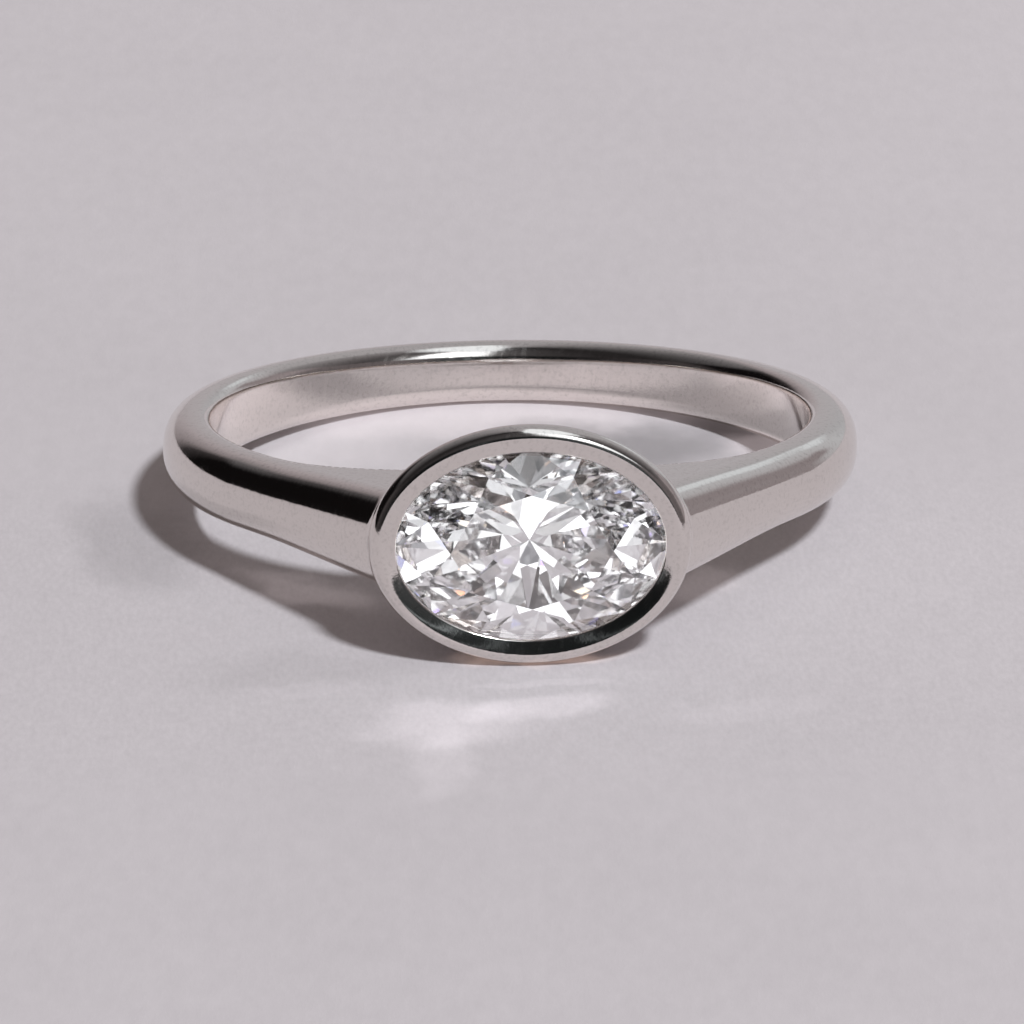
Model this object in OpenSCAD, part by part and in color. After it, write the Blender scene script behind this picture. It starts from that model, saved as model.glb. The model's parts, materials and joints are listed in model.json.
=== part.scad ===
// Bezel set engagement ring with an oval stone, resting on its side, in millimetres.
// The pieces are drawn about the finger hole's own axis, with the bezel towards -Y.
// At the end they are tilted and dropped, because the ring lies on the back of its
// band and on the lower edge of the bezel, which is wider than the band.

/* [Band] */
// Inside diameter of the finger hole
finger_d = 16.5; // [15:0.1:19]
// Thickness of the band, measured outwards from the finger
band_t = 1.35; // [1.2:0.05:1.6]
// Width of the band at the back, along the finger
back_w = 1.8; // [1.6:0.05:2.2]
// Width of the band at the sides
side_w = 2.1; // [1.8:0.05:2.4]
// Width of the band halfway along the shoulders
shoulder_w = 2.14; // [1.9:0.02:2.6]
// Width of the shoulders where they meet the bezel
neck_w = 2.64; // [2.2:0.04:3]
// Angle round from the bezel at which the round band runs straight on as a shoulder
shoulder_angle = 56; // [52:1:60]
// How far in from the outside the dome of the band's section begins
dome_t = 0.95; // [0.8:0.05:1.1]
// Fullness of that dome, where 2 is an ellipse and more is squarer
dome_power = 2.3; // [2:0.1:3]

/* [Bezel] */
// Length of the bezel at its widest, across the finger
bezel_l = 8.54; // [8.4:0.02:9]
// Width of the bezel at its widest, along the finger
bezel_w = 6.5; // [6.4:0.02:7]
// Distance from the finger hole's axis to the front of the rim
rim_reach = 11.8; // [11.7:0.1:12.4]
// Depth of the widest line below the front of the rim
rim_depth = 0.78; // [0.6:0.02:0.9]
// Rounding of the rim, measured inwards from the widest line
rim_round = 0.36; // [0.3:0.02:0.4]
// Slope at which the outer wall draws in towards the finger, in degrees
wall_taper = 15; // [12:1:18]
// Width of the bright slope between the rim and the stone
slope_w = 0.35; // [0.32:0.01:0.36]
// Depth of that slope
slope_depth = 0.38; // [0.3:0.02:0.42]
// Clearance all round between the stone and its seat
seat_gap = 0.03; // [0.02:0.01:0.05]
// Length of the open hole under the stone, where it is narrowest
azure_l = 4.3; // [3.8:0.1:4.6]

/* [Stone] */
// Length of the stone
stone_l = 7.4; // [7.36:0.01:7.44]
// Width of the stone
stone_w = 5.32; // [5.28:0.01:5.36]
// Width of the table, as a part of the stone's width
table_part = 0.58; // [0.53:0.01:0.63]
// Height of the crown
crown_h = 0.74; // [0.6:0.02:0.84]
// Thickness of the girdle
girdle_t = 0.12; // [0.08:0.01:0.16]
// Depth of the pavilion
pavilion_h = 2.28; // [2.1:0.02:2.36]
// How far the star facets reach from the table towards the girdle
star_part = 0.55; // [0.45:0.01:0.6]
// How far the lower girdle facets reach from the girdle towards the culet
lower_half_part = 0.76; // [0.7:0.01:0.82]

/* [Hidden] */

white_gold = [0.80, 0.78, 0.77];
diamond = [0.93, 0.95, 0.97];

finger_r = finger_d / 2;
band_r = finger_r + band_t;
bezel_half = [bezel_l / 2, bezel_w / 2];
stone_half = [stone_l / 2, stone_w / 2];

// The band: its section at each angle, measured round from the bezel

band_steps = 80;
dome_steps = 12;
// Outward distance of the shoulders' flat inner end, which the bezel hides
neck_reach = rim_reach - 0.6;
// The inner corner of the section, as distances [out from the finger, in from the side].
// It starts inside the finger hole, so that the hole cuts it at a clean angle.
inner_corner = [[-0.04, 0.48], [0.06, 0.22], [0.18, 0.07], [0.34, 0]];
// Half widths of the band at angles from the bezel
width_stations = [[20, neck_w / 2], [45, shoulder_w / 2], [90, side_w / 2], [180, back_w / 2]];

function turn_from_bezel(angle) = abs(angle > 180 ? angle - 360 : angle);

function band_half_width(turn) = lookup(turn, width_stations);

// Round the back the band is a circle, and nearer than shoulder_angle it runs on along
// the circle's tangent.
function band_outer(turn) =
    turn >= shoulder_angle ? band_r
    : min(band_r / cos(shoulder_angle - turn), neck_reach / cos(turn));

function superellipse(angle) =
    [pow(abs(cos(angle)), 2 / dome_power),
     sign(sin(angle)) * pow(abs(sin(angle)), 2 / dome_power)];

// One section of the band as points [distance from the axis, height], counterclockwise
// from the lower inner corner.
function band_section(turn) =
    let (half = band_half_width(turn), dome_from = band_outer(turn) - dome_t)
    concat(
        [for (c = inner_corner) [finger_r + c[0], -half + c[1]]],
        [for (i = [0 : dome_steps])
            let (s = superellipse(-90 + 180 * i / dome_steps))
            [dome_from + dome_t * s[0], half * s[1]]],
        [for (i = [len(inner_corner) - 1 : -1 : 0])
            [finger_r + inner_corner[i][0], half - inner_corner[i][1]]]
    );

band_rings = [for (i = [0 : band_steps - 1])
    let (angle = 360 * i / band_steps)
    [for (p = band_section(turn_from_bezel(angle)))
        [p[0] * sin(angle), -p[0] * cos(angle), p[1]]]];

// The bezel: ovals stacked from the front of the rim towards the finger

oval_steps = 64;
rim_steps = 7;
// The bezel's wall and the hole under the stone run past the finger hole, which cuts them
wall_end = rim_reach - finger_r + 0.9;
wall_draw = (wall_end - rim_depth) * tan(wall_taper);

function oval(half, depth) = [for (i = [0 : oval_steps - 1])
    let (angle = 360 * i / oval_steps)
    [half[0] * cos(angle), depth - rim_reach, half[1] * sin(angle)]];

function drawn_in(half, by) = [half[0] - by, half[1] - by];

bezel_rings = concat(
    [for (i = [0 : rim_steps])
        let (angle = 90 - 90 * i / rim_steps)
        oval(drawn_in(bezel_half, rim_round * (1 - cos(angle))), rim_depth * (1 - sin(angle)))],
    [oval(drawn_in(bezel_half, wall_draw), wall_end)]
);

// The stone's place, as depths below the front of the rim

lip_half = drawn_in(bezel_half, rim_round + slope_w);
// The lip of the slope covers this much of the stone's edge
lip_cover = stone_half[0] - lip_half[0];
crown_slope = crown_h / (stone_half[1] * (1 - table_part));
girdle_top = slope_depth + seat_gap + lip_cover * crown_slope;
girdle_low = girdle_top + girdle_t;
culet_depth = girdle_low + pavilion_h;

// The main facets stand out from the cone through the girdle's corners by this factor
facet_swell = 1 / cos(22.5);
azure_part = azure_l / stone_l;
seat_end = girdle_low + pavilion_h * (1 - azure_part / facet_swell);
swell_end = girdle_low + pavilion_h * (1 - 1 / facet_swell);
azure_flare = 1.15;

function grown(half, by) = [half[0] + by, half[1] + by];

// The cutter that opens the bezel: the slope, the pocket for the girdle, the bearing
// under it and the flared hole to the finger.
slope_rise = 0.1;
seat_rings = [
    oval(drawn_in(bezel_half, rim_round + slope_w * (-slope_rise / slope_depth)), -slope_rise),
    oval(lip_half, slope_depth),
    oval(grown(stone_half, seat_gap), girdle_top),
    oval(grown(stone_half, seat_gap), swell_end),
    oval(grown(azure_part * stone_half, seat_gap), seat_end),
    oval(azure_flare * azure_part * stone_half, wall_end + 0.1)
];

// The stone: a brilliant of unit radius with its facets at 16 places round the girdle,
// stretched to the oval. Points are [across, depth below the girdle's top, along].

table_turn = 22.5;
star_reach = table_part + (1 - table_part) * star_part;
lower_reach = 1 - lower_half_part;

function facet_point(reach, angle, depth) =
    [reach * stone_half[0] * cos(angle), girdle_top + depth - rim_reach,
     reach * stone_half[1] * sin(angle)];

function eight(reach, from, depth) =
    [for (i = [0 : 7]) facet_point(reach, from + 45 * i, depth)];

function sixteen(depth) = [for (i = [0 : 15]) facet_point(1, 22.5 * i, depth)];

// The kites reach from the table's corners to the girdle, and this is where their
// sides meet the stars.
kite_flare = star_reach * cos(table_turn);
kite_rise = crown_h * (1 - kite_flare) / (1 - table_part);

stone_points = concat(
    eight(table_part, 0, -crown_h),
    eight(star_reach, table_turn, -kite_rise),
    sixteen(0),
    sixteen(girdle_t),
    eight(lower_reach * facet_swell, table_turn, girdle_t + pavilion_h * (1 - lower_reach)),
    [facet_point(0, 0, girdle_t + pavilion_h)]
);
TABLE = 0;
STAR = 8;
GIRDLE_TOP = 16;
GIRDLE_LOW = 32;
LOWER = 48;
CULET = 56;

function wrap(i, n) = (i + n) % n;

stone_faces = concat(
    [[for (i = [0 : 7]) TABLE + i]],
    [for (i = [0 : 7]) [TABLE + i, STAR + i, TABLE + wrap(i + 1, 8)]],
    [for (i = [0 : 7])
        [TABLE + i, STAR + wrap(i - 1, 8), GIRDLE_TOP + 2 * i, STAR + i]],
    [for (i = [0 : 7]) [STAR + i, GIRDLE_TOP + 2 * i, GIRDLE_TOP + 2 * i + 1]],
    [for (i = [0 : 7])
        [STAR + i, GIRDLE_TOP + 2 * i + 1, GIRDLE_TOP + wrap(2 * i + 2, 16)]],
    [for (i = [0 : 15])
        [GIRDLE_TOP + i, GIRDLE_LOW + i, GIRDLE_LOW + wrap(i + 1, 16),
         GIRDLE_TOP + wrap(i + 1, 16)]],
    [for (i = [0 : 7]) [LOWER + i, GIRDLE_LOW + 2 * i + 1, GIRDLE_LOW + 2 * i]],
    [for (i = [0 : 7])
        [LOWER + i, GIRDLE_LOW + wrap(2 * i + 2, 16), GIRDLE_LOW + 2 * i + 1]],
    [for (i = [0 : 7])
        [CULET, LOWER + i, GIRDLE_LOW + 2 * i, LOWER + wrap(i - 1, 8)]]
);

// A solid skinned over rings of equal length. It is closed into a hoop, or capped at
// its first and last rings.
module skin(rings, hoop) {
    n = len(rings[0]);
    m = len(rings);
    points = [for (ring = rings) each ring];
    walls = [for (i = [0 : hoop ? m - 1 : m - 2], j = [0 : n - 1])
        let (a = i * n + j, b = i * n + (j + 1) % n, up = ((i + 1) % m - i) * n)
        each [[a, b, b + up], [a, b + up, a + up]]];
    caps = hoop ? [] : [[for (j = [n - 1 : -1 : 0]) j], [for (j = [0 : n - 1]) (m - 1) * n + j]];
    polyhedron(points = points, faces = concat(walls, caps), convexity = 8);
}

// How the ring rests: the tilt at which the band's back and the bezel are level

band_points = [for (ring = band_rings) each ring];
bezel_points = [for (ring = bezel_rings) each ring];

function lowest(points, tilt) = min([for (p = points) p[2] * cos(tilt) - p[1] * sin(tilt)]);

function rest_tilt(tries, tilt) =
    tries == 0 ? tilt
    : let (step = lowest(band_points, tilt) - lowest(bezel_points, tilt))
      rest_tilt(tries - 1, tilt + atan(step / (rim_reach + band_r)));

rest_angle = rest_tilt(12, 6);
rest_lift = -lowest(bezel_points, rest_angle);
rest_ends = [for (p = concat(band_points, bezel_points))
    p[1] * cos(rest_angle) + p[2] * sin(rest_angle)];
rest_shift = -(min(rest_ends) + max(rest_ends)) / 2;

module at_rest() {
    translate([0, rest_shift, rest_lift])
        rotate([-rest_angle, 0, 0])
            children();
}

module band_with_bezel() {
    color(white_gold)
        at_rest()
            difference() {
                union() {
                    skin(band_rings, true);
                    skin(bezel_rings, false);
                }
                cylinder(r = finger_r, h = 3 * bezel_w, center = true, $fn = 120);
                skin(seat_rings, false);
            }
}

module oval_stone() {
    color(diamond)
        at_rest()
            polyhedron(points = stone_points, faces = stone_faces, convexity = 4);
}

band_with_bezel();
oval_stone();
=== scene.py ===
"""A bezel set ring of polished white gold with a brilliant cut oval stone, in a pale studio."""

import json
import math

import bmesh
import bpy
import numpy as np
from mathutils import Matrix, Vector


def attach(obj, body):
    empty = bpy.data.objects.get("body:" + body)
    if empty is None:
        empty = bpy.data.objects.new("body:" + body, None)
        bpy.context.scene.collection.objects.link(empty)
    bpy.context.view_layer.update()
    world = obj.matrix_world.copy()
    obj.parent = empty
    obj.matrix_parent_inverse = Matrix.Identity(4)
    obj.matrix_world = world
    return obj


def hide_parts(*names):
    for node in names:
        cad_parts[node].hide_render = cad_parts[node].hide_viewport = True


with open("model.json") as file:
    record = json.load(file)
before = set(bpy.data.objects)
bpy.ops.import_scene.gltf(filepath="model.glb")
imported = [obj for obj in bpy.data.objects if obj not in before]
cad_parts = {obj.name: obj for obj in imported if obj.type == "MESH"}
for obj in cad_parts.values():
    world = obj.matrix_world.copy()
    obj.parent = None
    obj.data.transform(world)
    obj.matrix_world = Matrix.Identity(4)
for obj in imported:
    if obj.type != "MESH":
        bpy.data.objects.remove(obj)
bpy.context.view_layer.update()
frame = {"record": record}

MM = 0.001

# The ring's own frame has its origin on the finger hole's axis, which is Z, and the
# bezel towards -Y. Sizes in it are in millimetres, as in the CAD source.

finger_hole = frame["record"]["mounts"][0]
ring_centre = Vector(finger_hole["pos_m"])
finger_r = finger_hole["dims"]["r_mm"]
lean = math.atan2(finger_hole["axis"][1], finger_hole["axis"][2])
ring_to_row = Matrix.Translation(ring_centre) @ Matrix.Rotation(-lean, 4, "X") @ Matrix.Scale(MM, 4)

# The band: half widths along the finger, and angles in degrees from the bezel
band_t = 1.35
band_r = finger_r + band_t
back_half = 0.9
side_half = 1.05
shoulder_half = 1.07
neck_half = 1.32
shoulder_angle = 56
flare_angle = 45
flare_turn = 25
flare_soft = 5
dome_t = 0.95
dome_power = 2.3
side_round = 0.36
back_round = 0.58

# The bezel: its reach is from the finger hole's axis, and its depths are from the rim's crest
bezel_half = (4.27, 3.25)
rim_reach = 11.55
rim_depth = 0.44
rim_round = 0.33
wall_taper = 15
wall_overrun = 0.9
slope_w = 0.38
slope_depth = 0.09
slope_soft = 0.12
lip_t = 0.09
shoulder_end = 0.3
solder_round = 0.16
edge_round = 0.05

# The stone, its seat and the open hole under it
stone_half = (3.7, 2.66)
table_part = 0.58
crown_h = 0.84
girdle_reach = 11.24
girdle_t = 0.12
pavilion_h = 2.49
star_part = 0.55
lower_half_part = 0.80
mains = 8
girdle_sides = 96
seat_gap = 0.03
azure_l = 4.3
azure_flare = 1.15

slope_end = rim_round + slope_w
girdle_top = rim_reach - girdle_reach
girdle_low = girdle_top + girdle_t
main_turn = 360 / mains
half_turn = main_turn / 2
azure_part = azure_l / (2 * stone_half[0])
facet_swell = 1 / math.cos(math.radians(half_turn))
swell_end = girdle_low + pavilion_h * (1 - 1 / facet_swell)
seat_end = girdle_low + pavilion_h * (1 - azure_part / facet_swell)
wall_end = rim_reach - finger_r + wall_overrun

# The grid that the metal is meshed on: its cells, the depth of the fine zone at the rim,
# and how far it reaches past the metal
broad_cell = 0.14
bezel_cell = 0.078
front_cell = 0.042
wall_cell = 0.085
front_zone = 0.85
grid_room = 0.15
margin = 0.1


# The metal as one field: its value is near the distance from the surface, less than
# nought inside. Each part is a field of its own, and soft joins blend them. The least
# values in them only keep a division away from nought deep inside the metal.

def inside_both(a, b, radius):
    """The solid that lies in both fields, with the edge rounded to that radius."""
    round_part = np.hypot(np.maximum(a + radius, 0), np.maximum(b + radius, 0))
    return np.minimum(np.maximum(a, b), -radius) + round_part


def in_either(a, b, radius):
    """The solid that lies in one of two fields, with a fillet of that radius."""
    round_part = np.hypot(np.maximum(radius - a, 0), np.maximum(radius - b, 0))
    return np.maximum(np.minimum(a, b), radius) - round_part


def rising(value, softness):
    """Nought below nought and the value above it, with a soft corner."""
    return (value + np.sqrt(value * value + softness * softness)) / 2


def towards_back(turn):
    """From nought at the band's sides to one at its back; the angle is from the bezel."""
    return (1 - np.cos(np.radians(2 * np.clip(turn - 90, 0, 90)))) / 2


def band_half_width(turn):
    """Half the band's width at an angle from the bezel, in degrees."""
    flare = (neck_half - shoulder_half) / flare_turn * rising(flare_angle - turn, flare_soft)
    return side_half + (back_half - side_half) * towards_back(turn) + flare


def band_field(x, y, z):
    """The band and its shoulders: a domed section whose inner edges are rounded."""
    turn = np.degrees(np.abs(np.arctan2(x, -y)))
    rho = np.hypot(x, y)
    straight = np.cos(np.radians(np.clip(shoulder_angle - turn, 0, None)))
    out = np.maximum(rho * straight - (band_r - dome_t), 0) / dome_t
    half = band_half_width(turn)
    up = np.abs(z) / half
    level = np.maximum((out ** dome_power + up ** dome_power) ** (1 / dome_power), 0.2)
    steep = np.hypot(out ** (dome_power - 1) / dome_t, up ** (dome_power - 1) / half)
    steep = np.maximum(steep / level ** (dome_power - 1), 0.3)
    band = np.maximum((level - 1) / steep, shoulder_end - rim_reach - y)
    inner_round = side_round + (back_round - side_round) * towards_back(turn)
    return inside_both(band, finger_r - rho, inner_round)


def inset_from(half, x, z):
    """How far a point lies inside an oval of those half axes, along both axes alike."""
    least_half = (0.4, 0.3)
    least_slope = 0.05
    lowest = -3
    highest = half[1] - 0.35
    inset = np.zeros_like(x)
    for _ in range(6):
        a = np.maximum(half[0] - inset, least_half[0])
        b = np.maximum(half[1] - inset, least_half[1])
        level = (x / a) ** 2 + (z / b) ** 2 - 1
        slope = 2 * (x * x / a ** 3 + z * z / b ** 3)
        inset = np.clip(inset - level / np.maximum(slope, least_slope), lowest, highest)
    return inset


def oval_field(x, z, a, b):
    """Distance outside an oval cone's section with half axes a and b."""
    level = np.maximum(np.sqrt((x / a) ** 2 + (z / b) ** 2), 0.05)
    steep = np.hypot(x / a ** 2, z / b ** 2) / level
    return (level - 1) / np.maximum(steep, 0.1)


def cup_field(x, y, z):
    """The bezel: a wall that draws in towards the finger, a rounded rim and a dished slope."""
    inset = inset_from(bezel_half, x, z)
    dish = slope_depth / slope_w * rising(inset - rim_round, slope_soft)
    depth = y + rim_reach - dish
    taper = math.radians(wall_taper)
    wall = ((depth - rim_depth) * math.tan(taper) - inset) * math.cos(taper)
    across = np.maximum(rim_round - inset, 0) / rim_round
    above = np.maximum(rim_depth - depth, 0) / rim_depth
    level = np.maximum(np.hypot(across, above), 0.2)
    steep = np.maximum(np.hypot(across / rim_round, above / rim_depth) / level, 0.4)
    rim = (level - 1) / steep
    return np.where(depth < rim_depth, rim, wall)


def opening_field(x, y, z):
    """What the bezel leaves open: the lip, the stone's pocket and the hole under it."""
    depth = y + rim_reach
    stations = [slope_depth + lip_t, girdle_top, swell_end, seat_end, wall_end + margin]
    pocket = [half + seat_gap for half in stone_half]
    bearing = [azure_part * half + seat_gap for half in stone_half]
    lip = [half - slope_end for half in bezel_half]
    flared = [azure_flare * azure_part * half for half in stone_half]
    a, b = (np.interp(depth, stations, [lip[i], pocket[i], pocket[i], bearing[i], flared[i]])
            for i in (0, 1))
    return np.maximum(oval_field(x, z, a, b), depth - wall_end)


def metal_field(points):
    """Band and bezel joined by a fillet, then opened for the stone and for the finger."""
    x, y, z = points[..., 0], points[..., 1], points[..., 2]
    outside = in_either(band_field(x, y, z), cup_field(x, y, z), solder_round)
    opened = inside_both(outside, -opening_field(x, y, z), edge_round)
    rho = np.hypot(x, y)
    return inside_both(opened, finger_r - rho, edge_round)


def grid_line(start, *stretches):
    """Grid positions along one axis; each stretch is its end and its cell."""
    line = [start]
    for end, cell in stretches:
        count = math.ceil((end - line[-1]) / cell)
        line.extend(np.linspace(line[-1], end, count + 1)[1:])
    return np.array(line)


def field_on(axes):
    """The metal field at each grid point, worked out a slice at a time."""
    x, y, z = axes
    plane_y, plane_z = np.meshgrid(y, z, indexing="ij")
    slices = [
        metal_field(np.stack([np.full_like(plane_y, value), plane_y, plane_z], -1))
        for value in x
    ]
    return np.array(slices)


def surface_net(axes, values):
    """Points and quads of the surface where the values cross nought."""
    inside = values < 0
    shape = np.array(values.shape) - 1
    corners = [(i, j, k) for i in (0, 1) for j in (0, 1) for k in (0, 1)]

    def at(grid, corner):
        return grid[tuple(slice(c, c + n) for c, n in zip(corner, shape))]

    count = sum(at(inside, c).astype(np.int8) for c in corners)
    cells = np.argwhere((count > 0) & (count < 8))
    number = -np.ones(shape, int)
    number[tuple(cells.T)] = np.arange(len(cells))
    total = np.zeros((len(cells), 3))
    crossings = np.zeros(len(cells))
    for start in corners:
        for axis in range(3):
            if start[axis]:
                continue
            stop = tuple(c + (i == axis) for i, c in enumerate(start))
            one = values[tuple((cells + start).T)]
            two = values[tuple((cells + stop).T)]
            cut = (one < 0) != (two < 0)
            share = np.where(cut, one / np.where(cut, one - two, 1), 0)
            for i in range(3):
                low = axes[i][cells[:, i] + start[i]]
                high = axes[i][cells[:, i] + stop[i]]
                total[:, i] += np.where(cut, low + (high - low) * share, 0)
            crossings += cut
    points = total / crossings[:, None]
    quads = []
    for axis in range(3):
        others = [i for i in range(3) if i != axis]
        low = tuple(slice(0, -1) if i == axis else slice(1, -1) for i in range(3))
        high = tuple(slice(1, None) if i == axis else slice(1, -1) for i in range(3))
        edges = np.argwhere(inside[low] != inside[high])
        edges[:, others] += 1
        leaving = inside[tuple(edges.T)]
        around = [(-1, -1), (0, -1), (0, 0), (-1, 0)]
        ring = []
        for step in around:
            cell = edges.copy()
            cell[:, others[0]] += step[0]
            cell[:, others[1]] += step[1]
            ring.append(number[tuple(cell.T)])
        ring = np.stack(ring, 1)
        flip = leaving if axis == 1 else ~leaving
        ring[flip] = ring[flip][:, ::-1]
        quads.append(ring)
    return points, np.concatenate(quads)


def field_slope(points, step=0.002):
    """The field's gradient, by small steps."""
    slope = np.empty_like(points)
    for axis in range(3):
        shift = np.zeros(3)
        shift[axis] = step
        slope[:, axis] = (metal_field(points + shift) - metal_field(points - shift)) / (2 * step)
    return slope


def onto_surface(points, tries):
    """Points moved along the field's slope until they lie on the surface."""
    least_steep = 0.05
    longest_move = 0.05
    for _ in range(tries):
        slope = field_slope(points)
        steep = np.maximum((slope ** 2).sum(1), least_steep)
        move = -(metal_field(points) / steep)[:, None] * slope
        far = np.linalg.norm(move, axis=1, keepdims=True)
        points = points + move * np.minimum(1, longest_move / np.maximum(far, 1e-9))
    return points


def evened(points, quads, share):
    """Each point moved towards the middle of its neighbours."""
    total = np.zeros_like(points)
    count = np.zeros(len(points))
    for i in range(4):
        a, b = quads[:, i], quads[:, (i + 1) % 4]
        for one, two in ((a, b), (b, a)):
            for axis in range(3):
                total[:, axis] += np.bincount(one, points[two, axis], len(points))
            count += np.bincount(one, minlength=len(points))
    return points + share * (total / count[:, None] - points)


def mesh_object(name, points, faces, smooth):
    """A new object in the scene, whose place is in its mesh."""
    mesh = bpy.data.meshes.new(name)
    mesh.from_pydata(points.tolist(), [], [list(face) for face in faces])
    mesh.polygons.foreach_set("use_smooth", [smooth] * len(mesh.polygons))
    obj = bpy.data.objects.new(name, mesh)
    bpy.context.scene.collection.objects.link(obj)
    return obj


def halved(points, quads, near):
    """The mesh with the quads whose corners all lie in the zone cut in four."""
    mesh = bmesh.new()
    corners = [mesh.verts.new(point) for point in points.tolist()]
    for quad in quads.tolist():
        mesh.faces.new([corners[i] for i in quad])
    mesh.verts.index_update()
    inside = near(points)
    edges = [edge for edge in mesh.edges
             if inside[edge.verts[0].index] and inside[edge.verts[1].index]]
    bmesh.ops.subdivide_edges(mesh, edges=edges, cuts=1, use_grid_fill=True)
    mesh.verts.index_update()
    points = np.array([corner.co[:] for corner in mesh.verts])
    faces = [[corner.index for corner in face.verts] for face in mesh.faces]
    mesh.free()
    return points, faces


def near_slope(points):
    """The zone of the bezel's slope, from its crest to the thin lip round the stone."""
    crest_inset = 0.14
    zone_depth = 0.2
    inset = inset_from(bezel_half, points[:, 0], points[:, 2])
    depth = points[:, 1] + rim_reach
    return (inset > crest_inset) & (inset < slope_end + margin) & (depth < slope_depth + zone_depth)


def to_row(points):
    """Points of the ring's own frame in the shared frame, in metres."""
    matrix = np.array(ring_to_row)
    return points @ matrix[:3, :3].T + matrix[:3, 3]


def build_metal():
    """Band, shoulders and bezel as one soldered piece."""
    side = band_r + grid_room
    front = -rim_reach - grid_room
    half = bezel_half[0] + margin
    x_line = grid_line(-side, (-half, broad_cell), (half, bezel_cell), (side, broad_cell))
    y_line = grid_line(front, (front + front_zone, front_cell), (-finger_r, wall_cell),
                       (side, broad_cell))
    z_line = grid_line(-bezel_half[1] - margin, (bezel_half[1] + margin, bezel_cell))
    axes = [x_line, y_line, z_line]
    points, quads = surface_net(axes, field_on(axes))
    points = onto_surface(points, 3)
    for _ in range(3):
        points = onto_surface(evened(points, quads, 0.5), 2)
    points, faces = halved(points, quads, near_slope)
    points = onto_surface(points, 4)
    slope = field_slope(points)
    obj = mesh_object("white_gold_ring", to_row(points), faces, True)
    turn = np.array(ring_to_row.to_3x3().normalized())
    normals = (slope / np.linalg.norm(slope, axis=1, keepdims=True)) @ turn.T
    obj.data.normals_split_custom_set_from_vertices(normals.tolist())
    print("metal", len(points), "points", sum(len(face) - 2 for face in faces), "triangles")
    return obj


# The stone, cut as a round brilliant of radius one and then stretched to its oval

def turned(radius, angle, height):
    """A point of the round brilliant, at an angle in degrees."""
    a = math.radians(angle)
    return Vector((radius * math.cos(a), radius * math.sin(a), height))


def cut_away(mesh, point, normal):
    """Grinds one flat facet: all beyond the plane goes, and the cut is closed."""
    cut = bmesh.ops.bisect_plane(mesh, geom=mesh.verts[:] + mesh.edges[:] + mesh.faces[:],
                                 plane_co=point, plane_no=normal, clear_outer=True, dist=1e-7)
    rim = [part for part in cut["geom_cut"]
           if isinstance(part, bmesh.types.BMEdge) and len(part.link_faces) == 1]
    if len(rim) > 2:
        bmesh.ops.contextual_create(mesh, geom=rim)


def facet_through(mesh, corners, side):
    """A facet through three points, facing up for side 1 and down for side -1."""
    normal = (corners[1] - corners[0]).cross(corners[2] - corners[0]).normalized()
    cut_away(mesh, corners[0], normal if normal.z * side > 0 else -normal)


def rough_stone():
    """A prism a little taller than the stone, from which the facets are cut."""
    spare = 0.5
    mesh = bmesh.new()
    rings = [[mesh.verts.new(turned(1, 360 * i / girdle_sides, height)) for i in range(girdle_sides)]
             for height in (crown_h, -girdle_t - pavilion_h - spare)]
    mesh.faces.new(rings[0])
    mesh.faces.new(rings[1][::-1])
    for i in range(girdle_sides):
        j = (i + 1) % girdle_sides
        mesh.faces.new((rings[1][i], rings[1][j], rings[0][j], rings[0][i]))
    return mesh


def cut_belt(mesh, side, edge_h, rise, reach, inner_r):
    """Eight mains and sixteen halves, from the girdle's edge; gives the halves' inner height."""
    flat = Vector((rise, 0, side * reach)).normalized()
    for k in range(mains):
        turn = math.radians(main_turn * k)
        cut_away(mesh, turned(1, main_turn * k, edge_h), Matrix.Rotation(turn, 3, "Z") @ flat)
    inner_h = edge_h + side * rise * (1 - inner_r * math.cos(math.radians(half_turn))) / reach
    for k in range(mains):
        middle = main_turn * k + half_turn
        for base in (middle - half_turn, middle + half_turn):
            facet_through(mesh, [turned(1, base, edge_h), turned(1, middle, edge_h),
                                 turned(inner_r, middle, inner_h)], side)
    return inner_h


def closed_hull(corners):
    """The convex solid round those corners, with each flat facet as one face."""
    flat_within = math.radians(0.15)
    mesh = bmesh.new()
    for corner in corners:
        mesh.verts.new(corner)
    hull = bmesh.ops.convex_hull(mesh, input=mesh.verts[:])
    inner = [part for part in hull["geom_interior"] if isinstance(part, bmesh.types.BMVert)]
    bmesh.ops.delete(mesh, geom=inner, context="VERTS")
    bmesh.ops.remove_doubles(mesh, verts=mesh.verts[:], dist=1e-5)
    bmesh.ops.dissolve_limit(mesh, angle_limit=flat_within, verts=mesh.verts[:], edges=mesh.edges[:])
    return mesh


def build_stone():
    """The stone, with crown, stars, table, girdle and pavilion, in the bezel."""
    mesh = rough_stone()
    table_flat = table_part * math.cos(math.radians(half_turn))
    star_r = table_flat + (1 - table_flat) * star_part
    star_h = cut_belt(mesh, 1, 0, crown_h, 1 - table_part, star_r)
    for k in range(mains):
        facet_through(mesh, [turned(table_part, main_turn * k, crown_h),
                             turned(table_part, main_turn * (k + 1), crown_h),
                             turned(star_r, main_turn * k + half_turn, star_h)], 1)
    cut_belt(mesh, -1, -girdle_t, pavilion_h, 1, 1 - lower_half_part)
    stretch = Matrix(((stone_half[0], 0, 0, 0), (0, 0, -1, -girdle_reach),
                      (0, stone_half[1], 0, 0), (0, 0, 0, 1)))
    cut = closed_hull([corner.co.copy() for corner in mesh.verts])
    mesh.free()
    cut.transform(ring_to_row @ stretch)
    data = bpy.data.meshes.new("brilliant_oval")
    cut.to_mesh(data)
    cut.free()
    obj = bpy.data.objects.new("brilliant_oval", data)
    bpy.context.scene.collection.objects.link(obj)
    return obj


# The studio: colours of the metal, of the paper and of the light that the ring throws on
# it, and of the soft light from all round

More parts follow.
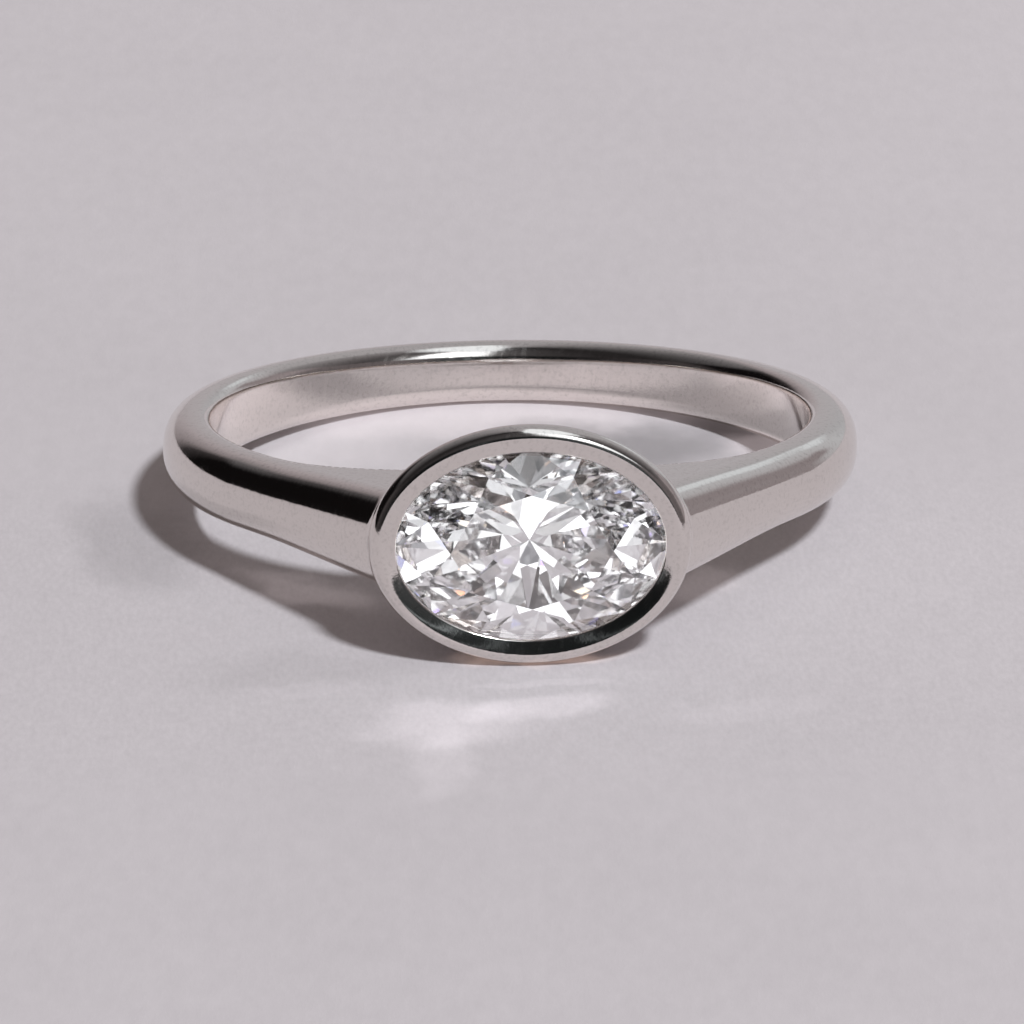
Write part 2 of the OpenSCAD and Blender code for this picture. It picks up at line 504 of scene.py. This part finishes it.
METAL_COLOUR = (0.80, 0.752, 0.718)
PAPER_COLOUR = (0.61, 0.588, 0.622)
LIT_PAPER = (0.53, 0.50, 0.52)
FILL_COLOUR = (0.249, 0.212, 0.195)
BACKDROP_LEVELS = (196, 191, 195)

# The camera: degrees from straight ahead and above the floor, metres, and pixels of a
# square picture of that side, in which the ring's middle shows at the centre pixel

CAMERA_AZIMUTH = -2.772
CAMERA_ELEVATION = 20.556
CAMERA_DISTANCE = 0.22644
PHOTO_SIDE = 1024
FOCAL_PIXELS = 8179.6
CENTRE_PIXEL = (510.08, 443.50)
CAMERA_ROLL = -0.0473


def build_camera():
    """A long lens turned a little off the ring's middle, as the framing asks."""
    az = math.radians(CAMERA_AZIMUTH)
    el = math.radians(CAMERA_ELEVATION)
    back = Vector((math.sin(az) * math.cos(el), -math.cos(az) * math.cos(el), math.sin(el)))
    up = Vector((0, 0, 1))
    right = (-back).cross(up).normalized()
    upward = right.cross(-back)
    aside = (CENTRE_PIXEL[0] - PHOTO_SIDE / 2) / FOCAL_PIXELS
    below = (CENTRE_PIXEL[1] - PHOTO_SIDE / 2) / FOCAL_PIXELS
    forward = (-back - aside * right + below * upward).normalized()
    right = forward.cross(up).normalized()
    upward = right.cross(forward)
    roll = math.radians(CAMERA_ROLL)
    rolled = right * math.cos(roll) + upward * math.sin(roll)
    upward = upward * math.cos(roll) - right * math.sin(roll)
    data = bpy.data.cameras.new("camera")
    data.sensor_width = 36
    data.lens = FOCAL_PIXELS / PHOTO_SIDE * data.sensor_width
    data.clip_start = 0.01
    data.clip_end = 20
    camera = bpy.data.objects.new("camera", data)
    axes = Matrix((rolled, upward, -forward)).transposed().to_4x4()
    camera.matrix_world = Matrix.Translation(ring_centre + CAMERA_DISTANCE * back) @ axes
    bpy.context.scene.collection.objects.link(camera)
    bpy.context.scene.camera = camera


def linear(*levels):
    """Screen colour levels, from 0 to 255, as linear light."""
    out = []
    for level in levels:
        v = level / 255
        out.append(v / 12.92 if v <= 0.04045 else ((v + 0.055) / 1.055) ** 2.4)
    return tuple(out)


def new_material(name):
    """A material, its node tree and its surface shader."""
    material = bpy.data.materials.new(name)
    material.use_nodes = True
    tree = material.node_tree
    return material, tree, tree.nodes["Principled BSDF"]


def node(tree, kind, **settings):
    """A new node with those settings."""
    made = tree.nodes.new(kind)
    for key, value in settings.items():
        setattr(made, key, value)
    return made


def arithmetic(tree, operation, *values):
    """A sum worked out from numbers and from other nodes' outputs."""
    made = node(tree, "ShaderNodeMath", operation=operation)
    for socket, value in zip(made.inputs, values):
        if isinstance(value, bpy.types.NodeSocket):
            tree.links.new(value, socket)
        else:
            socket.default_value = value
    return made.outputs[0]


def split(tree, where):
    """The X, Y and Z of a place."""
    made = node(tree, "ShaderNodeSeparateXYZ")
    tree.links.new(where, made.inputs[0])
    return made.outputs


def length_of(tree, where):
    """How far a place is from the origin of its coordinates."""
    made = node(tree, "ShaderNodeVectorMath", operation="LENGTH")
    tree.links.new(where, made.inputs[0])
    return made.outputs["Value"]


def added(tree, one, two):
    """The sum of two colours."""
    made = node(tree, "ShaderNodeVectorMath", operation="ADD")
    tree.links.new(one, made.inputs[0])
    tree.links.new(two, made.inputs[1])
    return made.outputs[0]


def stepped(tree, value, low, high):
    """From nought to one as the value goes from low to high, with soft ends."""
    made = node(tree, "ShaderNodeMapRange", interpolation_type="SMOOTHSTEP")
    made.inputs["From Min"].default_value = low
    made.inputs["From Max"].default_value = high
    tree.links.new(value, made.inputs["Value"])
    return made.outputs["Result"]


def mixed(tree, share, one, two):
    """From one colour to the other by that share. Its sockets are found by place, because
    those of all its kinds of data have the same names."""
    made = node(tree, "ShaderNodeMix", data_type="RGBA")
    for socket, value in ((made.inputs[0], share), (made.inputs[6], one), (made.inputs[7], two)):
        if isinstance(value, bpy.types.NodeSocket):
            tree.links.new(value, socket)
        elif isinstance(value, tuple):
            socket.default_value = (*value, 1)
        else:
            socket.default_value = value
    return made.outputs[2]


def within(tree, value, low, high, soft):
    """One between low and high and nought elsewhere, with edges of that softness."""
    rise = stepped(tree, value, low - soft / 2, low + soft / 2)
    fall = stepped(tree, value, high - soft / 2, high + soft / 2)
    return arithmetic(tree, "SUBTRACT", rise, fall)


def noise(tree, where, scale, detail, roughness=0.5, output="Fac"):
    """Smooth random levels about a half; the scale is for metres."""
    made = node(tree, "ShaderNodeTexNoise")
    made.inputs["Scale"].default_value = scale
    made.inputs["Detail"].default_value = detail
    made.inputs["Roughness"].default_value = roughness
    tree.links.new(where, made.inputs["Vector"])
    return made.outputs[output]


def laid_over(tree, where, place=(0, 0, 0), turn=0, size=(1, 1, 1)):
    """Coordinates measured from a place, turned about Z, in units of a size."""
    made = node(tree, "ShaderNodeMapping", vector_type="TEXTURE")
    made.inputs["Location"].default_value = place
    made.inputs["Rotation"].default_value = (0, 0, math.radians(turn))
    made.inputs["Scale"].default_value = size
    tree.links.new(where, made.inputs["Vector"])
    return made.outputs["Vector"]


def scaled(tree, colour, share):
    """A colour times a share that varies over the surface."""
    made = node(tree, "ShaderNodeVectorMath", operation="SCALE")
    made.inputs[0].default_value = colour
    tree.links.new(share, made.inputs["Scale"])
    return made.outputs[0]


def bumped(tree, height, distance, strength, under=None):
    """The surface's direction with that relief on it, over any other relief."""
    made = node(tree, "ShaderNodeBump")
    made.inputs["Distance"].default_value = distance
    made.inputs["Strength"].default_value = strength
    tree.links.new(height, made.inputs["Height"])
    if under is not None:
        tree.links.new(under, made.inputs["Normal"])
    return made.outputs["Normal"]


# The gold's finish: the steps of its grain, the stretch of the band over which it grows
# worn towards the back, what each adds to the roughness, and the relief in millimetres

GRAIN_SCALE = 9000
GRAIN_ROUGHNESS = 0.65
GRAIN_STEP = (0.48, 0.74)
GRAIN_SHADE = 0.86
GRAIN_HEIGHT = 0.006
GRAIN_STRENGTH = 0.22
BLOTCH_SCALE = 900
BLOTCH_HEIGHT = 0.02
BLOTCH_STRENGTH = 0.12
WORN_FROM = -4
WORN_TO = 9
POLISH = 0.055
WORN_ROUGHER = 0.035
BLOTCH_ROUGHER = 0.035
SCRATCH_ROUGHER = 0.04

# Its scratches: turn in degrees, size of the marks along each axis, scale, and the level
# from which they show

SCRATCHES = [
    (38, (1, 0.06, 0.3), 420, 0.66),
    (-24, (0.05, 1, 0.25), 380, 0.67),
]
SCRATCH_SOFT = 0.04

# Painted shade on the lower middle of the seat under the stone, where little light reaches:
# its middle and reach in millimetres, its colour, and its soft edge as parts of the reach

SEAT_SHADE_MIDDLE = (0, -8.4, 1.7)
SEAT_SHADE_REACH = (1.6, 1.3, 0.95)
SEAT_SHADE_COLOUR = (0.12, 0.11, 0.105)
SEAT_SHADE_EDGE = (1.1, 0.9)


def scratched(tree, where):
    """One in the handling marks and nought between them."""
    shares = []
    for turn, stretch, scale, low in SCRATCHES:
        marks = noise(tree, laid_over(tree, where, turn=turn, size=stretch), scale, 0)
        shares.append(stepped(tree, marks, low, low + SCRATCH_SOFT))
    return arithmetic(tree, "MAXIMUM", *shares)


def gold_material():
    """Polished white gold with soft handling marks, a little more worn at the back, and painted shade in
    the seat under the stone.
    """
    material, tree, surface = new_material("white_gold")
    where = node(tree, "ShaderNodeTexCoord").outputs["Object"]
    grain = noise(tree, where, GRAIN_SCALE, 2, GRAIN_ROUGHNESS)
    blotch = noise(tree, where, BLOTCH_SCALE, 1)
    worn = stepped(tree, split(tree, where)["Y"], WORN_FROM * MM, WORN_TO * MM)
    rough = arithmetic(tree, "MULTIPLY_ADD", worn, WORN_ROUGHER, POLISH)
    rough = arithmetic(tree, "ADD", rough, arithmetic(tree, "MULTIPLY", blotch, BLOTCH_ROUGHER))
    marked = arithmetic(tree, "MULTIPLY", scratched(tree, where), SCRATCH_ROUGHER)
    tree.links.new(arithmetic(tree, "ADD", rough, marked), surface.inputs["Roughness"])
    darker = tuple(GRAIN_SHADE * part for part in METAL_COLOUR)
    colour = mixed(tree, stepped(tree, grain, *GRAIN_STEP), METAL_COLOUR, darker)
    # Painted shade: the metal of the seat under the stone turns near black towards its middle.
    spot = laid_over(tree, where, [MM * part for part in SEAT_SHADE_MIDDLE],
                     size=[MM * part for part in SEAT_SHADE_REACH])
    seat_shade = stepped(tree, length_of(tree, spot), *SEAT_SHADE_EDGE)
    tree.links.new(mixed(tree, seat_shade, colour, SEAT_SHADE_COLOUR), surface.inputs["Base Color"])
    surface.inputs["Metallic"].default_value = 1
    waves = bumped(tree, blotch, BLOTCH_HEIGHT * MM, BLOTCH_STRENGTH)
    relief = bumped(tree, grain, GRAIN_HEIGHT * MM, GRAIN_STRENGTH, waves)
    tree.links.new(relief, surface.inputs["Normal"])
    return material


# The clear stone

HAZE_SCALE = 1500
HAZE_COLOUR = (0.985, 0.99, 1)
DIAMOND_IOR = 2.417
DIAMOND_ROUGHNESS = 0.02


def diamond_material():
    """Clear diamond; its body holds the faintest haze."""
    material, tree, surface = new_material("diamond")
    where = node(tree, "ShaderNodeTexCoord").outputs["Object"]
    haze = noise(tree, where, HAZE_SCALE, 2)
    tree.links.new(mixed(tree, haze, (1, 1, 1), HAZE_COLOUR), surface.inputs["Base Color"])
    surface.inputs["Roughness"].default_value = DIAMOND_ROUGHNESS
    surface.inputs["IOR"].default_value = DIAMOND_IOR
    surface.inputs["Transmission Weight"].default_value = 1
    return material


# Soft light that the polished metal and the stone throw on the paper: where it lies in
# millimetres, half its length and width, its turn in degrees, its strength beside the
# lit paper's, and its tint

COOL = (1.0, 0.97, 1.0)
WARM = (1.0, 0.74, 0.60)
SOFT_WARM = (1.0, 0.90, 0.88)
GLOWS = [
    (-2.3, -14.2, 2.3, 1.6, 0, 0.26, COOL),
    (0.1, -13.5, 1.9, 1.0, 8, 0.24, COOL),
    (-2.7, -16.6, 1.0, 2.6, -8, 0.12, COOL),
    (5.2, -13.7, 2.4, 0.8, 4, 0.06, COOL),
    (-6.0, -11.7, 1.8, 0.6, 0, 0.08, COOL),
    (0.2, -11.6, 2.0, 0.25, 0, 0.10, COOL),
    (-0.4, 9.5, 6.6, 2.6, 0, 0.26, SOFT_WARM),
    (-4.8, 6.6, 2.4, 2.4, 0, 0.08, SOFT_WARM),
    (-0.8, 1.8, 2.8, 3.6, 0, 0.30, SOFT_WARM),
    (0.3, -9.7, 2.3, 0.6, 6, 0.40, WARM),
    (-5.9, -4.6, 2.4, 0.9, -46, 0.17, SOFT_WARM),
    (5.0, -4.6, 1.6, 1.0, 50, 0.14, SOFT_WARM),
    (7.4, 5.6, 1.3, 1.5, -30, 0.24, SOFT_WARM),
]

# Soft shade on the paper: place, half length, half width, turn and the share of the light
# that is lost

SHADES = [
    (2.6, 6.1, 4.2, 2.0, -5, 0.36),
    (-10.4, -0.8, 1.9, 3.8, 12, 0.16),
    (-6.2, -10.6, 3.0, 1.8, 0, 0.08),
]

# The paper, in millimetres: how far the edges of lights and shades wander, its level, the
# scale and share of each size of mottle in it, drawn out from left to right, where the
# grit shows, and the painted light that makes the paper lighter towards the back and the right

WANDER = 2.6
WANDER_SCALE = 420
PAPER_LEVEL = 0.90
BROAD_SCALE = 110
BROAD_SHARE = 0.09
FINE_SCALE = 1900
FINE_SIZE = (1, 2.4, 1)
FINE_SHARE = 0.13
GRIT_SCALE = 7500
GRIT_SIZE = (1, 2.8, 1)
GRIT_SHARE = 0.22
GRIT_FROM = -17.5
GRIT_TO = 3
GRIT_SOFT = 8
BEHIND_LIGHT_REACH = 60
BEHIND_PAINTED_LIGHT = 0.05
ASIDE_LIGHT_REACH = 24
ASIDE_PAINTED_LIGHT = 0.035
FIBRE_HEIGHT = 0.06
FIBRE_STRENGTH = 0.35
PAPER_ROUGHNESS = 0.9
PAPER_SHINE = 0.1
SPOT_EDGE = (1.25, 0.45)
FLOOR_HALF = 3.0


def oval_spot(tree, where, x, y, length, width, turn):
    """One in the middle of an oval on the paper, fading to nothing past its edge."""
    spot = laid_over(tree, where, (x * MM, y * MM, 0), turn, (length * MM, width * MM, 1))
    return stepped(tree, length_of(tree, spot), *SPOT_EDGE)


def wandering(tree, where):
    """The same coordinates, shifted here and there by smooth random amounts."""
    wander = noise(tree, where, WANDER_SCALE, 3, output="Color")
    shift = node(tree, "ShaderNodeVectorMath", operation="MULTIPLY_ADD")
    shift.inputs[1].default_value = (WANDER * MM, WANDER * MM, 0)
    tree.links.new(wander, shift.inputs[0])
    tree.links.new(where, shift.inputs[2])
    return laid_over(tree, shift.outputs[0], place=(WANDER * MM / 2, WANDER * MM / 2, 0))


def thrown_light(tree, where):
    """All the light that the ring throws on the paper."""
    light = None
    for *oval, gain, tint in GLOWS:
        colour = tuple(gain * lit * part for lit, part in zip(LIT_PAPER, tint))
        glow = scaled(tree, colour, oval_spot(tree, where, *oval))
        light = glow if light is None else added(tree, light, glow)
    return light


def share_of(tree, value, share):
    """That share of a value."""
    return arithmetic(tree, "MULTIPLY", value, share)


def paper_level(tree, where, moved, fine):
    """How light the paper is: mottle, grit near the ring, and the light and shade painted on it."""
    broad = noise(tree, where, BROAD_SCALE, 3, 0.55)
    grit = noise(tree, laid_over(tree, where, size=GRIT_SIZE), GRIT_SCALE, 2, 0.6)
    place = split(tree, where)
    near = within(tree, place["Y"], GRIT_FROM * MM, GRIT_TO * MM, GRIT_SOFT * MM)
    grit = arithmetic(tree, "MULTIPLY", arithmetic(tree, "SUBTRACT", grit, 0.5), near)
    level = arithmetic(tree, "ADD", share_of(tree, broad, BROAD_SHARE), share_of(tree, fine, FINE_SHARE))
    level = arithmetic(tree, "ADD", level, share_of(tree, grit, GRIT_SHARE))
    # Painted light: the paper is made lighter towards the back and towards the right, as the light falls
    # on it.
    behind = share_of(tree, stepped(tree, place["Y"], 0, BEHIND_LIGHT_REACH * MM), BEHIND_PAINTED_LIGHT)
    aside = share_of(tree, stepped(tree, place["X"], 0, ASIDE_LIGHT_REACH * MM), ASIDE_PAINTED_LIGHT)
    level = arithmetic(tree, "ADD", level, arithmetic(tree, "ADD", behind, aside))
    level = arithmetic(tree, "ADD", level, PAPER_LEVEL)
    for *oval, lost in SHADES:
        shade = share_of(tree, oval_spot(tree, moved, *oval), lost)
        level = arithmetic(tree, "MULTIPLY", level, arithmetic(tree, "SUBTRACT", 1, shade))
    return level


def floor_material():
    """Pale handmade paper, with the light that the ring throws on it."""
    material, tree, surface = new_material("pale_paper")
    where = node(tree, "ShaderNodeTexCoord").outputs["Object"]
    moved = wandering(tree, where)
    fine = noise(tree, laid_over(tree, where, size=FINE_SIZE), FINE_SCALE, 4, 0.65)
    level = paper_level(tree, where, moved, fine)
    tree.links.new(scaled(tree, PAPER_COLOUR, level), surface.inputs["Base Color"])
    tree.links.new(thrown_light(tree, moved), surface.inputs["Emission Color"])
    tree.links.new(bumped(tree, fine, FIBRE_HEIGHT * MM, FIBRE_STRENGTH), surface.inputs["Normal"])
    surface.inputs["Emission Strength"].default_value = 1
    surface.inputs["Roughness"].default_value = PAPER_ROUGHNESS
    surface.inputs["Specular IOR Level"].default_value = PAPER_SHINE
    material.cycles.emission_sampling = "NONE"
    return material


def build_floor():
    """The wide sheet of paper that the ring lies on."""
    half = FLOOR_HALF
    corners = np.array([(-half, -half, 0), (half, -half, 0), (half, half, 0), (-half, half, 0)])
    floor = mesh_object("floor", corners, np.array([[0, 1, 2, 3]]), False)
    floor.data.materials.append(floor_material())


# The lamp: degrees from the right towards the back and above the floor, metres and watts

KEY_AZIMUTH = -62
KEY_ELEVATION = 51
KEY_DISTANCE = 2.0
KEY_WIDTH = 0.25
KEY_POWER = 32
KEY_COLOUR = (0.98, 0.988, 1.0)


def build_key_light():
    """The round lamp that gives the ring its shadow."""
    az = math.radians(KEY_AZIMUTH)
    el = math.radians(KEY_ELEVATION)
    towards = Vector((math.cos(az) * math.cos(el), math.sin(az) * math.cos(el), math.sin(el)))
    data = bpy.data.lights.new("key", "AREA")
    data.shape = "DISK"
    data.size = KEY_WIDTH
    data.energy = KEY_POWER
    data.color = KEY_COLOUR
    light = bpy.data.objects.new("key", data)
    light.matrix_world = (Matrix.Translation(KEY_DISTANCE * towards)
                          @ towards.to_track_quat("Z", "Y").to_matrix().to_4x4())
    bpy.context.scene.collection.objects.link(light)


# What the polished metal mirrors above the floor: azimuth in degrees from straight behind
# the ring towards the right, the screen level that it shows there, and how warm that is.
# The low ring of levels gives way to the high one between two elevations.

LOW_LEVELS = [
    (-180, 26, -0.4), (-166, 18, -0.4), (-150, 26, 0.4), (-120, 46, 1), (-100, 56, 1),
    (-84, 12, 1.2), (-46, 11, 1.2), (-35, 48, 1), (-26, 122, 1), (-12, 148, 0.9),
    (2, 158, 0.6), (22, 159, 0.3), (36, 172, 0.2), (52, 160, 0.4), (64, 124, 1),
    (80, 134, 1), (93, 98, 1), (115, 86, 1), (140, 92, 1), (156, 60, 0),
    (166, 42, -0.4), (180, 26, -0.4),
]
HIGH_LEVELS = [
    (-180, 60, 0.6), (-150, 46, 0.7), (-130, 34, 0.8), (-105, 35, 0.8), (-90, 52, 0.6),
    (-60, 76, 0.5), (-35, 102, 0.5), (-15, 126, 0.5), (0, 150, 0.4), (25, 154, 0.4), (45, 150, 0.4),
    (60, 122, 0.5), (80, 102, 0.6), (95, 84, 0.7), (112, 62, 0.7), (125, 70, 0.6), (150, 120, 0.2),
    (180, 60, 0.6),
]
LEVEL_CHANGE = (26, 36)
MIRROR_WARM = (1.13, 0.945, 0.94)

# Cards that stand in those surroundings: from and to azimuth, from and to elevation,
# softness of the edge in degrees, level, and how warm that is

CARDS = [
    (46, 68, 8, 19, 6, 124, 1),
    (22, 35, 17, 26, 5, 198, 0),
    (134, 172, 34, 72, 8, 246, 0),
    (5, 176, 70, 92, 8, 232, 0),
    (165, 166.6, 2, 24, 0.8, 128, -0.3),
    (172.2, 173.2, 2, 24, 0.8, 96, -0.3),
    (-176, -174.8, 2, 24, 0.8, 92, -0.3),
    (-161, -158, -2, 6, 1.5, 84, 0),
]

# What the stone's facets gather: from and to azimuth, from the ring's front towards the
# right, from and to elevation, softness and light. The narrow coloured cards give the
# stone its fire.

STONE_BASE = (2.5, 2.5, 2.56)
STONE_CARDS = [
    (-62, 62, -3, 62, 8, (1.5, 1.5, 1.52)),
    (15, 31, -3, 15, 3, (0.95, 0.95, 0.97)),
    (-16, 24, 27, 60, 6, (0.28, 0.28, 0.30)),
    (-28, 32, 57, 91, 8, (0.24, 0.24, 0.25)),
    (-66, -42, 11, 41, 5, (0.75, 0.74, 0.75)),
    (49, 69, 17, 37, 4, (0.95, 0.95, 0.97)),
    (33, 46, 34, 48, 4, (0.90, 0.90, 0.92)),
    (-97, -60, -10, 35, 5, (0.32, 0.31, 0.32)),
    (66, 104, -10, 35, 5, (0.36, 0.36, 0.37)),
    (-13, 14, -3, 14, 2, (1.9, 1.9, 1.94)),
    (35, 42, -3, 6, 1.5, (2.3, 0.95, 0.42)),
    (16, 21, 36, 46, 1.5, (0.85, 0.80, 2.1)),
    (-4, 0, 63, 65.5, 1, (3.2, 2.8, 1.9)),
    (-32, -30, -3, 18, 0.8, (0.55, 0.75, 2.2)),
    (27.5, 29, -3, 18, 0.8, (2.3, 1.25, 0.6)),
    (-24, -22.5, 24, 50, 0.8, (1.1, 0.7, 2.2)),
    (-46, -44.4, -3, 12, 0.8, (1.5, 0.7, 2.6)),
    (44, 45.2, 10, 24, 0.8, (2.0, 1.5, 0.8)),
]


def mirrored(level, warmth):
    """The light that shows in the metal at that screen level."""
    return tuple(linear(level)[0] / part * (1 + warmth * (tint - 1))
                 for part, tint in zip(METAL_COLOUR, MIRROR_WARM))


def level_ramp(tree, turn, stops):
    """A ring of surroundings whose levels follow the azimuth."""
    ramp = node(tree, "ShaderNodeValToRGB")
    points = ramp.color_ramp.elements
    while len(points) < len(stops):
        points.new(0.5)
    for point, (azimuth, level, warmth) in zip(points, stops):
        point.position = azimuth / 360 + 0.5
        point.color = (*mirrored(level, warmth), 1)
    tree.links.new(turn, ramp.inputs["Fac"])
    return ramp.outputs["Color"]


def with_card(tree, colour, azimuth, elevation, card):
    """The surroundings with one card in front of them."""
    from_az, to_az, from_el, to_el, soft, light = card
    share = arithmetic(tree, "MULTIPLY", within(tree, azimuth, from_az, to_az, soft),
                       within(tree, elevation, from_el, to_el, soft))
    return mixed(tree, share, colour, light)


def metal_surroundings(tree, azimuth, elevation):
    """The studio as the polished metal mirrors it."""
    turn = arithmetic(tree, "MULTIPLY_ADD", azimuth, 1 / 360, 0.5)
    colour = mixed(tree, stepped(tree, elevation, *LEVEL_CHANGE),
                   level_ramp(tree, turn, LOW_LEVELS), level_ramp(tree, turn, HIGH_LEVELS))
    for card in CARDS:
        colour = with_card(tree, colour, azimuth, elevation, (*card[:5], mirrored(*card[5:])))
    return colour


def stone_surroundings(tree, azimuth, elevation):
    """The studio as it shows through the stone's facets."""
    colour = STONE_BASE
    for card in STONE_CARDS:
        colour = with_card(tree, colour, azimuth, elevation, card)
    return colour


def degrees_round(tree, side, ahead):
    """An azimuth from straight ahead towards the side."""
    angle = arithmetic(tree, "ARCTAN2", side, ahead)
    return arithmetic(tree, "MULTIPLY", angle, 180 / math.pi)


def lit(tree, colour):
    """A background that shines in a colour, which is given or worked out."""
    light = node(tree, "ShaderNodeBackground")
    if isinstance(colour, tuple):
        light.inputs["Color"].default_value = (*colour, 1)
    else:
        tree.links.new(colour, light.inputs["Color"])
    return light.outputs[0]


def build_world():
    """The studio all round: each kind of ray meets the surroundings made for it. They are
    mixed as lights, because then a ray works out only the one that it meets."""
    world = bpy.data.worlds.new("studio")
    bpy.context.scene.world = world
    world.use_nodes = True
    tree = world.node_tree
    tree.nodes.clear()
    out = node(tree, "ShaderNodeOutputWorld")
    path = node(tree, "ShaderNodeLightPath")
    way = split(tree, node(tree, "ShaderNodeTexCoord").outputs["Generated"])
    elevation = arithmetic(tree, "MULTIPLY", arithmetic(tree, "ARCSINE", way["Z"]), 180 / math.pi)
    from_back = degrees_round(tree, way["X"], way["Y"])
    from_front = degrees_round(tree, way["X"], arithmetic(tree, "MULTIPLY", way["Y"], -1))
    light = lit(tree, metal_surroundings(tree, from_back, elevation))
    surroundings = {
        "Is Transmission Ray": stone_surroundings(tree, from_front, elevation),
        "Is Diffuse Ray": FILL_COLOUR,
        "Is Camera Ray": linear(*BACKDROP_LEVELS),
    }
    for kind, colour in surroundings.items():
        choice = node(tree, "ShaderNodeMixShader")
        tree.links.new(path.outputs[kind], choice.inputs[0])
        tree.links.new(light, choice.inputs[1])
        tree.links.new(lit(tree, colour), choice.inputs[2])
        light = choice.outputs[0]
    tree.links.new(light, out.inputs["Surface"])


BOUNCES = 22
BRIGHTEST_BOUNCE = 6


def set_up_light_paths():
    """Enough bounces for the light's way through the stone's facets."""
    scene = bpy.context.scene
    scene.view_settings.view_transform = "Standard"
    scene.cycles.max_bounces = BOUNCES
    scene.cycles.transmission_bounces = BOUNCES
    scene.cycles.glossy_bounces = BOUNCES
    scene.cycles.sample_clamp_indirect = BRIGHTEST_BOUNCE


build_camera()
set_up_light_paths()
build_world()
build_key_light()
build_floor()

metal = build_metal()
metal.data.materials.append(gold_material())
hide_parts("band_with_bezel")
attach(metal, "root")

stone = build_stone()
stone.data.materials.append(diamond_material())
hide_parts("oval_stone")
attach(stone, "root")
